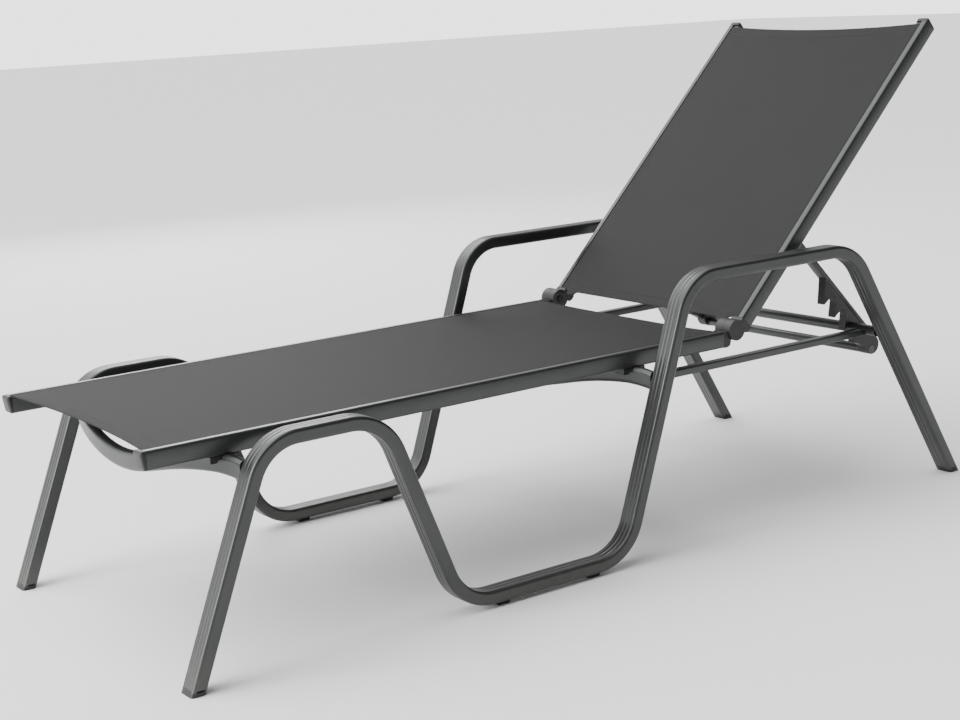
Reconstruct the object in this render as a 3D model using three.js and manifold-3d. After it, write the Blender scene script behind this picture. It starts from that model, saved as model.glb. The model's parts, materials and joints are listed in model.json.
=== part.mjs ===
// Reclining sun lounger, in millimetres: +X towards the head end, +Y to the occupant's right, +Z up.
// Two bent side frames carry a sling seat.
// A sling back hinges on the seat rails and leans on a toothed stay.
import * as THREE from 'three';
import { mergeVertices } from 'three/addons/utils/BufferGeometryUtils.js';
import Module from 'manifold-3d';

const wasm = await Module();
wasm.setup();

// ---------------------------------------------------------------- driving dimensions
const WIDTH = 690; // over both side frames
const SEAT_HEIGHT = 363.5; // top of the seat rails, which is also the height of the back's hinge axis
const SEAT_RAIL = 1151; // metal length of one seat rail
const BACK_RAIL = 720; // metal length of one back rail
const BACK_ANGLE = 45.2; // slope of the back with the rack bar in the last slot, degrees
const ARM_ABOVE_SEAT = 125; // centre of the armrest tube above the seat rails
const TUBE = { wide: 38, thick: 23.5, corner: 5.5 }; // side-frame tube, wide across the lounger
const RAIL = { wide: 28, high: 30, corner: 4, wall: 2.5, lip: 12.3 }; // sling rail
const CROSS = { wide: 34, thick: 18, corner: 8, bow: 58, dip: 33 }; // bowed crossbar under the seat
const STRUT = { wide: 20, thick: 13.5 };
const RACK_BAR_R = 10;
const STAY_BAR_R = 9;
const STAY_ARM = { wide: 25, thick: 10, corner: 4.5 };
const RACK = { thick: 18, pitch: 40.5, slotGap: 22.2, lean: 12, boss: 19, bossWide: 23 };
const FABRIC = 1.8; // sling thickness
const GAP = 0.3; // fitted clearance between neighbouring pieces

// ---------------------------------------------------------------- derived layout
const rad = Math.PI / 180;
const frameOuter = WIDTH / 2;
const frameInner = frameOuter - TUBE.wide;
const railOuter = frameInner - 33;
const railInner = railOuter - RAIL.wide;
const railMid = (railOuter + railInner) / 2;
const slotAt = railOuter - RAIL.lip - 1.2; // centre of the keder slot

const PAD_HIGH = 6.5;
const FOOT_HIGH = 10;
const HINGE_R = 19.5;
const HINGE_REACH = 28; // from a rail's end to the hinge axis
const hinge = new THREE.Vector3(SEAT_RAIL + HINGE_REACH, 0, SEAT_HEIGHT);

// Corner points of the side frame's centre line; each bend has its own radius.
const LEAN = { front: 68.2, fall: 69.4, post: 71, rear: 59.6 };
const humpZ = SEAT_HEIGHT - 5.5;
const runnerZ = PAD_HIGH + GAP + TUBE.thick / 2;
const armZ = SEAT_HEIGHT + ARM_ABOVE_SEAT;
// Height at which the crossbars meet the frames, leaving room for the saddles under the rails.
const crossZ = SEAT_HEIGHT - RAIL.high - CROSS.thick / 2 - 15.5;
const footX = 16.8;
const humpX = footX + humpZ / Math.tan(LEAN.front * rad);
const fallX = humpX + 211;
const runnerX = fallX + (humpZ - runnerZ) / Math.tan(LEAN.fall * rad);
const rearCrossX = hinge.x - 229.5;
const postX = rearCrossX + 1.5 - (crossZ - runnerZ) / Math.tan(LEAN.post * rad);
const armX = postX + (armZ - runnerZ) / Math.tan(LEAN.post * rad);
const rearX = armX + 412;
const rearFootX = rearX + armZ / Math.tan(LEAN.rear * rad);
const frameLine = [
  { x: footX, z: 0 },
  { x: humpX, z: humpZ, r: 82 },
  { x: fallX, z: humpZ, r: 90 },
  { x: runnerX, z: runnerZ, r: 90 },
  { x: postX, z: runnerZ, r: 90 },
  { x: armX, z: armZ, r: 82 },
  { x: rearX, z: armZ, r: 96 },
  { x: rearFootX, z: 0 },
];
const frontCrossX = footX + crossZ / Math.tan(LEAN.front * rad);
const rackBarZ = SEAT_HEIGHT - 51.8;
const rackBarX = rearFootX - rackBarZ / Math.tan(LEAN.rear * rad) - 4;

// Stay: it pivots on the back rails and its last slot holds the rack bar.
const pivot = { s: 239.2, p: -21.5 }; // in the back's own frame
const back = { c: Math.cos(BACK_ANGLE * rad), s: Math.sin(BACK_ANGLE * rad) };
const pivotX = hinge.x + pivot.s * back.c - pivot.p * back.s;
const pivotZ = hinge.z + pivot.s * back.s + pivot.p * back.c;
const SLOT_DROP = -25.8; // slot centres below the arm's centre line
const reach = Math.hypot(rackBarX - pivotX, rackBarZ - pivotZ);
const lastSlot = Math.sqrt(reach * reach - SLOT_DROP * SLOT_DROP);
const stayAngle = Math.atan2(rackBarZ - pivotZ, rackBarX - pivotX) - Math.asin(SLOT_DROP / reach);
const stayBar = { a: lastSlot + 76.5, p: -22.7 };
const boss = { a: stayBar.a - 6.2, p: stayBar.p + 7.3 };
const armEnd = boss.a - RACK.boss - 6;
const rackOuter = railInner - 2.5;

// ---------------------------------------------------------------- geometry helpers
const v3 = (x, y, z) => new THREE.Vector3(x, y, z);

// A path given as ready-made sections, each with its centre and its two section axes.
class StationPath extends THREE.Curve {
  constructor(stations) {
    super();
    this.stations = stations;
  }
  getPoint(t) {
    const place = t * (this.stations.length - 1);
    const low = Math.min(Math.floor(place), this.stations.length - 2);
    return this.stations[low].at.clone().lerp(this.stations[low + 1].at, place - low);
  }
  getSpacedPoints() {
    return this.stations.map((station) => station.at.clone());
  }
  computeFrenetFrames() {
    return {
      tangents: this.stations.map((s) => s.n.clone().cross(s.b).normalize()),
      normals: this.stations.map((s) => s.n.clone()),
      binormals: this.stations.map((s) => s.b.clone()),
    };
  }
}

function sweep(outline, stations) {
  const shape = new THREE.Shape(outline);
  const path = new StationPath(stations);
  return new THREE.ExtrudeGeometry(shape, { steps: stations.length - 1, extrudePath: path });
}

function roundedOutline(wide, high, radius, perCorner = 3) {
  const points = [];
  const corners = [[1, 1, 0], [-1, 1, 90], [-1, -1, 180], [1, -1, 270]];
  for (const [sx, sy, start] of corners) {
    for (let i = 0; i <= perCorner; i += 1) {
      const a = (start + (90 * i) / perCorner) * rad;
      const cx = sx * (wide / 2 - radius);
      const cy = sy * (high / 2 - radius);
      points.push(new THREE.Vector2(cx + radius * Math.cos(a), cy + radius * Math.sin(a)));
    }
  }
  return points;
}

// Prism along Y from an outline in X and Z.
function prismY(points, low, high) {
  const shape = new THREE.Shape(points.map(([x, z]) => new THREE.Vector2(x, z)));
  const geometry = new THREE.ExtrudeGeometry(shape, { depth: high - low, bevelEnabled: false });
  return geometry.rotateX(Math.PI / 2).translate(0, high, 0);
}

// Prism along X from an outline in Y and Z, with optional holes.
function prismX(points, holes, low, high) {
  const shape = new THREE.Shape(points);
  shape.holes = holes.map((hole) => new THREE.Path(hole));
  const stations = [low, high].map((x) => ({ at: v3(x, 0, 0), n: v3(0, 1, 0), b: v3(0, 0, 1) }));
  return new THREE.ExtrudeGeometry(shape, { steps: 1, extrudePath: new StationPath(stations) });
}

function prismZ(points, low, high) {
  const shape = new THREE.Shape(points.map(([x, y]) => new THREE.Vector2(x, y)));
  const geometry = new THREE.ExtrudeGeometry(shape, { depth: high - low, bevelEnabled: false });
  return geometry.translate(0, 0, low);
}

function rodY(x, z, radius, low, high, sides = 24) {
  const geometry = new THREE.CylinderGeometry(radius, radius, high - low, sides);
  return geometry.translate(x, (low + high) / 2, z);
}

function rodZ(x, y, radius, low, high, sides = 16) {
  const geometry = new THREE.CylinderGeometry(radius, radius, high - low, sides);
  return geometry.rotateX(Math.PI / 2).translate(x, y, (low + high) / 2);
}

function box(x0, x1, y0, y1, z0, z1) {
  const geometry = new THREE.BoxGeometry(x1 - x0, y1 - y0, z1 - z0);
  return geometry.translate((x0 + x1) / 2, (y0 + y1) / 2, (z0 + z1) / 2);
}

function solid(geometry) {
  const plain = geometry.clone();
  plain.deleteAttribute('normal');
  plain.deleteAttribute('uv');
  const merged = mergeVertices(plain, 1e-4);
  return new wasm.Manifold(new wasm.Mesh({
    numProp: 3,
    vertProperties: new Float32Array(merged.attributes.position.array),
    triVerts: new Uint32Array(merged.index.array),
  }));
}

function surface(body) {
  const mesh = body.getMesh();
  const geometry = new THREE.BufferGeometry();
  geometry.setAttribute('position', new THREE.BufferAttribute(new Float32Array(mesh.vertProperties), 3));
  geometry.setIndex(new THREE.BufferAttribute(new Uint32Array(mesh.triVerts), 1));
  geometry.computeVertexNormals();
  return geometry;
}

function combine(first, { add = [], cut = [] }) {
  let body = solid(first);
  for (const piece of add) {
    body = body.add(solid(piece));
  }
  for (const piece of cut) {
    body = body.subtract(solid(piece));
  }
  return surface(body);
}

// The same piece for the other side of the lounger.
function mirrorY(geometry) {
  const source = geometry.index ? geometry : mergeVertices(geometry);
  const mirrored = source.clone().scale(1, -1, 1);
  const index = Array.from(mirrored.index.array);
  for (let i = 0; i < index.length; i += 3) {
    [index[i + 1], index[i + 2]] = [index[i + 2], index[i + 1]];
  }
  mirrored.setIndex(index);
  return mirrored;
}

// ---------------------------------------------------------------- materials
const paint = () => new THREE.MeshStandardMaterial({ color: 0x4a4d4d, roughness: 0.42, metalness: 0.35 });
const black = () => new THREE.MeshStandardMaterial({ color: 0x101112, roughness: 0.5, metalness: 0 });
const sling = () => new THREE.MeshStandardMaterial({ color: 0x4c4d4e, roughness: 0.85, metalness: 0 });
const steel = () => new THREE.MeshStandardMaterial({ color: 0x8d9092, roughness: 0.35, metalness: 0.9 });

// ---------------------------------------------------------------- side frames
// Stations along the bent tube; both ends are cut level so that they stand flat on their feet.
function frameStations(endZ) {
  const across = v3(0, -1, 0);
  const stations = [];
  const put = (x, z, dx, dz, stretch) => {
    const at = v3(x, frameOuter - TUBE.wide / 2, z);
    stations.push({ at, n: across, b: v3(dz * stretch, 0, -dx * stretch) });
  };
  const line = frameLine;
  const unit = (a, b) => {
    const length = Math.hypot(b.x - a.x, b.z - a.z);
    return { x: (b.x - a.x) / length, z: (b.z - a.z) / length };
  };
  const first = unit(line[0], line[1]);
  put(line[0].x + (endZ * first.x) / first.z, endZ, 0, 1, 1 / first.z);
  for (let i = 1; i < line.length - 1; i += 1) {
    const into = unit(line[i - 1], line[i]);
    const away = unit(line[i], line[i + 1]);
    const from = Math.atan2(into.z, into.x);
    let turn = Math.atan2(away.z, away.x) - from;
    turn = Math.atan2(Math.sin(turn), Math.cos(turn));
    const back2 = line[i].r * Math.tan(Math.abs(turn) / 2);
    const side = Math.sign(turn);
    const cx = line[i].x - into.x * back2 - into.z * line[i].r * side;
    const cz = line[i].z - into.z * back2 + into.x * line[i].r * side;
    const steps = Math.max(4, Math.round(Math.abs(turn) / (10 * rad)));
    for (let k = 0; k <= steps; k += 1) {
      const a = from + (turn * k) / steps;
      const x = cx + Math.sin(a) * line[i].r * side;
      const z = cz - Math.cos(a) * line[i].r * side;
      put(x, z, Math.cos(a), Math.sin(a), 1);
    }
  }
  const end = line[line.length - 1];
  const last = unit(line[line.length - 2], end);
  put(end.x + (endZ * last.x) / last.z, endZ, 0, -1, -1 / last.z);
  return stations;
}

// A short leaning prism between two levels on a leg, for the feet and the sockets they plug into.
function legPrism(x0, slope, z0, z1, wide, thick, corner) {
  const stretch = Math.hypot(1, slope);
  const stations = [z0, z1].map((z) => ({
    at: v3(x0 + z * slope, frameOuter - TUBE.wide / 2, z),
    n: v3(0, -1, 0),
    b: v3(stretch, 0, 0),
  }));
  return sweep(roundedOutline(wide, thick, corner), stations);
}

const SOCKET = { wide: TUBE.wide - 7, thick: TUBE.thick - 7, corner: 3, deep: 24 };
const legs = {
  front: { x: footX, slope: 1 / Math.tan(LEAN.front * rad) },
  rear: { x: rearFootX, slope: -1 / Math.tan(LEAN.rear * rad) },
};

function sideFrame() {
  const tube = sweep(roundedOutline(TUBE.wide, TUBE.thick, TUBE.corner), frameStations(FOOT_HIGH + GAP));
  const { deep, wide, thick, corner } = SOCKET;
  const sockets = Object.values(legs).map((leg) => (
    legPrism(leg.x, leg.slope, FOOT_HIGH - 4, FOOT_HIGH + deep, wide, thick, corner)
  ));
  return combine(tube, { cut: sockets });
}

function footCap(leg) {
  const sole = legPrism(leg.x, leg.slope, 0, FOOT_HIGH, TUBE.wide, TUBE.thick, TUBE.corner);
  const wide = SOCKET.wide - 2 * GAP;
  const thick = SOCKET.thick - 2 * GAP;
  const spigotTop = FOOT_HIGH + SOCKET.deep - 4;
  const spigot = legPrism(leg.x, leg.slope, FOOT_HIGH - 1, spigotTop, wide, thick, SOCKET.corner);
  return combine(sole, { add: [spigot] });
}

// Glide under the runner, with a sole slightly smaller than its top.
function runnerPad() {
  const outline = [[-13, PAD_HIGH], [-13, 3], [-10.5, 0], [10.5, 0], [13, 3], [13, PAD_HIGH]];
  return prismY(outline, -9.5, 9.5);
}

// ---------------------------------------------------------------- crossbars, struts and saddles
// Centre line of a crossbar: level with the frames at its ends, bowed forwards and down in the middle.
function crossPoint(x, y) {
  const across = Math.min(Math.abs(y) / frameInner, 1);
  const flat = frameInner * 0.81;
  const at = Math.min(Math.abs(y) / flat, 1);
  const past = Math.max((Math.abs(y) - flat) / (frameInner - flat), 0);
  const bow = CROSS.bow * (1 - across ** 3.1) ** 1.6;
  const dip = CROSS.dip * (1 - at * at) ** 2.7;
  return v3(x - bow, y, crossZ + 2 + 9.5 * (1 - past ** 1.5) - dip);
}

function crossStations(x, half, count) {
  const stations = [];
  for (let i = 0; i <= count; i += 1) {
    const y = -half + (2 * half * i) / count;
    const at = crossPoint(x, y);
    const tangent = crossPoint(x, y + 0.5).sub(crossPoint(x, y - 0.5)).normalize();
    if (i === 0 || i === count) {
      tangent.set(0, 1, 0);
    }
    const n = v3(1, 0, 0).addScaledVector(tangent, -tangent.x).normalize();
    stations.push({ at, n, b: tangent.clone().cross(n) });
  }
  return stations;
}

function crossTube(x, extra = 0) {
  const corner = Math.min(CROSS.corner, CROSS.thick / 2 - 1) + extra;
  const outline = roundedOutline(CROSS.wide + 2 * extra, CROSS.thick + 2 * extra, corner);
  return sweep(outline, crossStations(x, frameInner - GAP, 36));
}

const BOLT_R = 3;
const boltX = (x) => crossPoint(x, railMid).x;
const boltHole = (x, low, high) => [-1, 1].map((side) => (
  rodZ(boltX(x), side * railMid, BOLT_R + GAP, low, high)
));

function crossbar(x) {
  return combine(crossTube(x), { cut: boltHole(x, crossZ - 40, crossZ + 40) });
}

const barTop = crossPoint(0, railMid).z + CROSS.thick / 2;
const railBottom = SEAT_HEIGHT - RAIL.high;

function saddle(x) {
  const mid = boltX(x);
  const half = CROSS.wide / 2 + 7.5;
  const block = box(mid - half, mid + half, railMid - 12, railMid + 12, barTop - 6, railBottom - GAP);
  const hole = rodZ(mid, railMid, BOLT_R + GAP, barTop - 20, railBottom + 5);
  return combine(block, { cut: [crossTube(x, 2 * GAP), hole] });
}

function railBolt() {
  const under = barTop - CROSS.thick - 1.8;
  const shank = rodZ(0, 0, BOLT_R, under - 2, railBottom + RAIL.wall + 6);
  return combine(shank, { add: [rodZ(0, 0, 6, under - 4, under, 6)] });
}

function strut() {
  const outer = railOuter + 6;
  const top = rackBarZ + 2;
  const start = crossPoint(rearCrossX, outer).x + CROSS.wide / 2 - CROSS.corner;
  const centre = v3(0, outer - STRUT.wide / 2, top - STRUT.thick / 2);
  const outline = roundedOutline(STRUT.wide, STRUT.thick, 2, 2);
  const points = outline.map((p) => new THREE.Vector2(p.x + centre.y, p.y + centre.z));
  const bar = prismX(points, [], start, rackBarX);
  const cope = rodY(rackBarX, rackBarZ, RACK_BAR_R + GAP, outer - 40, outer + 20, 32);
  return combine(bar, { cut: [crossTube(rearCrossX, GAP), cope] });
}

// ---------------------------------------------------------------- sling rails
// Section of a rail at height zero: an outer lip, a keder channel beside it and a hollow chamber below.
const KEDER_R = 3.1;
const channel = { y: slotAt, z: -9.5, r: KEDER_R + 0.5 };
const SHELF = -3;

function railOutline() {
  const points = [];
  const put = (y, z) => points.push(new THREE.Vector2(y, z));
  const corner = (y, z, start) => {
    for (let i = 0; i <= 3; i += 1) {
      const a = (start + 30 * i) * rad;
      put(y + RAIL.corner * Math.cos(a), z + RAIL.corner * Math.sin(a));
    }
  };
  put(slotAt - 1.2, SHELF);
  put(railInner + 1, SHELF);
  put(railInner, SHELF - 1);
  corner(railInner + RAIL.corner, RAIL.corner - RAIL.high, 180);
  corner(railOuter - RAIL.corner, RAIL.corner - RAIL.high, 270);
  corner(railOuter - RAIL.corner, -RAIL.corner, 0);
  put(slotAt + 1.2, 0);
  const mouth = Math.asin(1.2 / channel.r);
  const sweepAngle = 2 * Math.PI - 2 * mouth;
  for (let i = 0; i <= 14; i += 1) {
    const a = Math.PI / 2 - mouth - (sweepAngle * i) / 14;
    put(channel.y + channel.r * Math.cos(a), channel.z + channel.r * Math.sin(a));
  }
  return points;
}

const chamber = {
  y: railMid,
  z: -21.5,
  wide: RAIL.wide - 2 * RAIL.wall,
  high: 12,
};

function chamberOutline(shrink) {
  const outline = roundedOutline(chamber.wide - 2 * shrink, chamber.high - 2 * shrink, 2, 2);
  return outline.map((p) => new THREE.Vector2(p.x + chamber.y, p.y + chamber.z));
}

function rail(start, length) {
  return prismX(railOutline(), [chamberOutline(0)], start, start + length);
}

// Outer outline of a rail without its channel, for the fittings that close its ends.
function railHull() {
  const outline = roundedOutline(RAIL.wide, RAIL.high, RAIL.corner);
  return outline;
}

// End cap: its face leans so that the top stands out further than the bottom.
function railCap(x, facing) {
  const station = (out, lean, scale) => ({
    at: v3(x + facing * out, railMid, -RAIL.high / 2),
    n: v3(0, facing * scale, 0),
    b: v3(facing * lean, 0, scale),
  });
  const stations = [
    station(GAP, 0, 1), station(4.5, 0.1, 1), station(6.2, 0.13, 0.94), station(7.2, 0.14, 0.8),
  ];
  const head = sweep(railHull(), stations);
  const plugEnd = [x + facing * 2, x - facing * 22].sort((a, b) => a - b);
  const plug = prismX(chamberOutline(GAP), [], plugEnd[0], plugEnd[1]);
  return combine(head, { add: [plug] });
}

// ---------------------------------------------------------------- hinges
// Knuckles share the axis: the seat's is the outer one, the back's the inner one.
const PIN_R = 4;
const knuckle = { inner: railInner - 5.5, split: railMid, outer: railOuter + 5.5 };

function hingeBlock(facing) {
  // Block on the rail's end, its lower corner rounded off towards the barrel.
  const far = HINGE_REACH - GAP;
  const near = 11;
  const low = -RAIL.high + 0.2;
  const outline = [[-far, -0.3], [-far, low], [-near - 9, low]];
  for (let i = 1; i <= 3; i += 1) {
    const a = (-90 + 30 * i) * rad;
    outline.push([-near - 9 + 9 * Math.cos(a), low + 9 + 9 * Math.sin(a)]);
  }
  outline.push([-near, -0.3]);
  const points = facing > 0 ? outline : outline.map(([x, z]) => [-x, z]).reverse();
  return prismY(points, railInner, railOuter);
}

function hingeFitting(facing, low, high, blind) {
  const inwards = facing * -HINGE_REACH;
  const plugEnd = [inwards + facing * 4, inwards - facing * 30].sort((a, b) => a - b);
  const plug = prismX(chamberOutline(GAP), [], plugEnd[0], plugEnd[1]);
  const clear = facing > 0
    ? rodY(0, 0, HINGE_R + 0.8, knuckle.inner - 5, knuckle.split + GAP / 2, 40)
    : rodY(0, 0, HINGE_R + 0.8, knuckle.split - GAP / 2, knuckle.outer + 5, 40);
  const cleared = surface(solid(hingeBlock(facing)).subtract(solid(clear)));
  const barrel = rodY(0, 0, HINGE_R, low, high, 36);
  const bore = rodY(0, 0, PIN_R + 0.1, low - 1, blind, 32);
  return combine(barrel, { add: [cleared, plug], cut: [bore] });
}

function hingePin() {
  const shank = rodY(0, 0, PIN_R, knuckle.inner - 1, knuckle.outer - 3, 32);
  return combine(shank, { add: [rodY(0, 0, 7, knuckle.inner - 3.3, knuckle.inner - GAP, 24)] });
}

// ---------------------------------------------------------------- slings
// Outline of a sling in plan, both free edges hollowed between the rails.
function slingOutline(lowEdge, highEdge) {
  const points = [];
  const edge = slotAt + 0.6;
  for (let i = 0; i <= 20; i += 1) {
    const y = -edge + (2 * edge * i) / 20;
    points.push([lowEdge(Math.abs(y) / edge), y]);
  }
  for (let i = 20; i >= 0; i -= 1) {
    const y = -edge + (2 * edge * i) / 20;
    points.push([highEdge(Math.abs(y) / edge), y]);
  }
  return points.reverse();
}

function slingSheet(lowEdge, highEdge, start, end) {
  const sheet = prismZ(slingOutline(lowEdge, highEdge), -0.5 - FABRIC, -0.5);
  const hems = [-1, 1].map((side) => {
    const ys = [side * (slotAt - 0.6), side * (slotAt + 0.6)].sort((a, b) => a - b);
    return box(start, end, ys[0], ys[1], channel.z + KEDER_R + 0.1, -0.6);
  });
  // Between the rails' fittings the sheet is no longer than its hems.
  const wings = [-1, 1].flatMap((side) => {
    const ys = [side * (railInner - 1), side * railOuter].sort((a, b) => a - b);
    return [box(start - 40, start, ys[0], ys[1], -5, 5), box(end, end + 40, ys[0], ys[1], -5, 5)];
  });
  return combine(sheet, { add: hems, cut: wings });
}

const keder = (start, end) => {
  const geometry = new THREE.CylinderGeometry(KEDER_R, KEDER_R, end - start, 12);
  return geometry.rotateZ(Math.PI / 2).translate((start + end) / 2, channel.y, channel.z);
};

// ---------------------------------------------------------------- back bars, stay and racks
function backBar(s) {
  const half = railInner - GAP;
  const stations = [];
  for (let i = 0; i <= 14; i += 1) {
    const y = -half + (2 * half * i) / 14;
    const slopeAt = (yy) => -17 - 32 * (1 - (yy / half) ** 2) ** 2;
    const tangent = v3(0, 1, slopeAt(y + 0.5) - slopeAt(y - 0.5)).normalize();
    if (i === 0 || i === 14) {
      tangent.set(0, 1, 0);
    }
    const n = v3(1, 0, 0);
    stations.push({ at: v3(s, y, slopeAt(y)), n, b: tangent.clone().cross(n) });
  }
  return sweep(roundedOutline(24, 14, 6), stations);
}

function stayArm() {
  const outline = roundedOutline(STAY_ARM.wide, STAY_ARM.thick, STAY_ARM.corner);
  const mid = rackOuter - STAY_ARM.wide / 2;
  const points = outline.map((p) => new THREE.Vector2(p.x + mid, p.y));
  const bar = prismX(points, [], -10, armEnd);
  return combine(bar, { cut: [rodY(0, 0, BOLT_R + 0.1, mid - 40, mid + 40, 20)] });
}

// Rack: a comb of ratchet teeth under the arm, ending in the boss that holds the stay's crossbar.
// The slots lean forwards; their front faces are square to the arm, so a lifted arm swings free.
function rackPlate() {
  const tilt = -(90 + RACK.lean) * rad - stayAngle;
  const down = { a: Math.cos(tilt), p: Math.sin(tilt) };
  const side = { a: -down.p, p: down.a };
  const turned = tilt + Math.PI / 2;
  const half = RACK.slotGap / 2;
  const under = -STAY_ARM.thick / 2 - GAP;
  const centre = (slot) => lastSlot - RACK.pitch * slot;
  const spot = (slot, lateral, depth) => [
    centre(slot) + side.a * lateral + down.a * (depth + 0.6),
    SLOT_DROP + side.p * lateral + down.p * (depth + 0.6),
  ];
  const tip = 6.4;
  const step = RACK.pitch * down.a;
  const tooth = RACK.pitch * side.a - RACK.slotGap;
  const outline = [[centre(2) - 48, under]];
  outline.push(spot(2, -half - tooth, tip));
  for (const slot of [2, 1, 0]) {
    outline.push([centre(slot) - half - 1.9, SLOT_DROP - 13.4]);
    for (let i = 0; i <= 8; i += 1) {
      const a = ((Math.PI - turned) * (8 - i)) / 8;
      outline.push(spot(slot, half * Math.cos(a), -half * Math.sin(a)));
    }
    outline.push(spot(slot, half + 1.5, tip + step));
  }
  outline.push(spot(-1, -half, tip));
  outline.push([boss.a, boss.p - RACK.boss * 0.6]);
  outline.push([boss.a, under]);
  const plate = prismY(outline, rackOuter - RACK.thick, rackOuter);
  const round = rodY(boss.a, boss.p, RACK.boss, rackOuter - RACK.bossWide, rackOuter, 32);
  const hole = rodY(stayBar.a, stayBar.p, STAY_BAR_R + 0.1, rackOuter - 40, rackOuter + 5, 24);
  return combine(plate, { add: [round], cut: [hole] });
}

function stayCrossbar() {
  const half = rackOuter - 1.8;
  const bar = rodY(stayBar.a, stayBar.p, STAY_BAR_R, -half, half, 24);
  const ends = [-1, 1].map((side) => {
    const span = [side * (half - 22), side * (half + 1)].sort((a, b) => a - b);
    return rodY(stayBar.a, stayBar.p, STAY_BAR_R - 1.6, span[0], span[1], 20);
  });
  return combine(bar, { cut: ends });
}

function stayPlug() {
  const half = rackOuter - 1.8;
  const disc = rodY(stayBar.a, stayBar.p, STAY_BAR_R - 0.2, half + GAP, half + 1.8, 24);
  const spigot = rodY(stayBar.a, stayBar.p, STAY_BAR_R - 2, half - 14, half + 1, 20);
  return combine(disc, { add: [spigot] });
}

function stayBolt() {
  const headFrom = rackOuter - STAY_ARM.wide - GAP;
  const shank = rodY(0, 0, BOLT_R, headFrom - 1, railInner + RAIL.wall + 9, 20);
  const head = rodY(0, 0, 6, headFrom - 4, headFrom, 16);
  const collar = rodY(0, 0, 5.5, rackOuter + GAP, railInner - GAP, 16);
  const nut = rodY(0, 0, 4.6, railInner + RAIL.wall + GAP, railInner + RAIL.wall + 5, 6);
  return combine(shank, { add: [head, collar, nut] });
}

// ---------------------------------------------------------------- assembly
const lounger = new THREE.Group();
const base = new THREE.Group();
const seat = new THREE.Group();
const backrest = new THREE.Group();
const stay = new THREE.Group();
lounger.add(base);
base.add(seat);
base.add(backrest);
backrest.add(stay);
seat.position.z = SEAT_HEIGHT;
backrest.position.copy(hinge);
backrest.rotation.y = -BACK_ANGLE * rad;
stay.position.set(pivot.s, 0, pivot.p);
stay.rotation.y = BACK_ANGLE * rad - stayAngle;

function put(group, name, geometry, material, x = 0, y = 0, z = 0) {
  const mesh = new THREE.Mesh(geometry, material);
  mesh.name = name;
  mesh.position.set(x, y, z);
  group.add(mesh);
}

// Adds a piece built for the right side, and its mirror image on the left.
function pair(group, name, geometry, material, x = 0, y = 0, z = 0) {
  put(group, `${name}_right`, geometry, material(), x, y, z);
  put(group, `${name}_left`, mirrorY(geometry), material(), x, -y, z);
}

pair(base, 'side_frame', sideFrame(), paint);
pair(base, 'front_foot_cap', footCap(legs.front), black);
pair(base, 'rear_foot_cap', footCap(legs.rear), black);
const padY = frameOuter - TUBE.wide / 2;
pair(base, 'front_runner_pad', runnerPad(), black, runnerX + 84, padY, 0);
pair(base, 'rear_runner_pad', runnerPad(), black, postX - 74, padY, 0);
put(base, 'crossbar_front', crossbar(frontCrossX), paint());
put(base, 'crossbar_rear', crossbar(rearCrossX), paint());
const barHalf = frameInner - GAP;
put(base, 'rack_bar', rodY(rackBarX, rackBarZ, RACK_BAR_R, -barHalf, barHalf, 28), paint());
pair(base, 'strut', strut(), paint);
pair(base, 'front_saddle', saddle(frontCrossX), black);
pair(base, 'rear_saddle', saddle(rearCrossX), black);
pair(base, 'front_rail_bolt', railBolt(), steel, boltX(frontCrossX), railMid, 0);
pair(base, 'rear_rail_bolt', railBolt(), steel, boltX(rearCrossX), railMid, 0);

const boltSpots = [frontCrossX, rearCrossX].map((x) => (
  rodZ(boltX(x), railMid, BOLT_R + GAP, -RAIL.high - 2, -20)
));
pair(seat, 'seat_rail', combine(rail(0, SEAT_RAIL), { cut: boltSpots }), paint);
pair(seat, 'seat_rail_cap', railCap(0, -1), black);
pair(seat, 'seat_keder', keder(2, SEAT_RAIL - 2), sling);
const seatFront = (t) => 1.5 + 15 * (1 - t * t);
const seatRear = (t) => SEAT_RAIL - 1 - 12.5 * (1 - t ** 4);
put(seat, 'seat_sling', slingSheet(seatFront, seatRear, 2, SEAT_RAIL - 2), sling());

const seatHinge = hingeFitting(1, knuckle.split + GAP / 2, knuckle.outer, knuckle.outer - 2.7);
pair(seat, 'seat_hinge', seatHinge, black, hinge.x, 0, 0);
pair(seat, 'hinge_pin', hingePin(), steel, hinge.x, 0, 0);

const backHinge = hingeFitting(-1, knuckle.inner, knuckle.split - GAP / 2, knuckle.split + 5);
pair(backrest, 'back_hinge', backHinge, black);
const pivotHole = rodY(pivot.s, pivot.p, BOLT_R + GAP, railInner - 5, railMid - 4, 20);
const backEnd = HINGE_REACH + BACK_RAIL;
pair(backrest, 'back_rail', combine(rail(HINGE_REACH, BACK_RAIL), { cut: [pivotHole] }), paint);
pair(backrest, 'back_rail_cap', railCap(backEnd, 1), black);
pair(backrest, 'back_keder', keder(HINGE_REACH + 2, backEnd - 2), sling);
const backLow = () => 22.5;
const backHigh = (t) => backEnd - 5 - 12 * (1 - t * t);
put(backrest, 'back_sling', slingSheet(backLow, backHigh, HINGE_REACH + 2, backEnd - 6), sling());
put(backrest, 'back_bar_low', backBar(76), paint());
put(backrest, 'back_bar_top', backBar(backEnd - 66), paint());

pair(stay, 'stay_arm', stayArm(), paint);
pair(stay, 'rack', rackPlate(), black);
put(stay, 'stay_crossbar', stayCrossbar(), paint());
pair(stay, 'stay_bar_plug', stayPlug(), black);
pair(stay, 'stay_bolt', stayBolt(), steel);

// The lounger is centred over its own footprint.
const extent = new THREE.Box3().setFromObject(lounger, true);
base.position.x = -(extent.min.x + extent.max.x) / 2;

export default lounger;
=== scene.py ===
"""Finished look of the reclining sun lounger: reeded tubes, stretched slings, moulded fittings and a plain studio."""

import json
import math

import bmesh
import bpy
from bpy.props import FloatProperty, FloatVectorProperty, IntProperty, PointerProperty
from mathutils import Matrix, Vector


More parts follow.
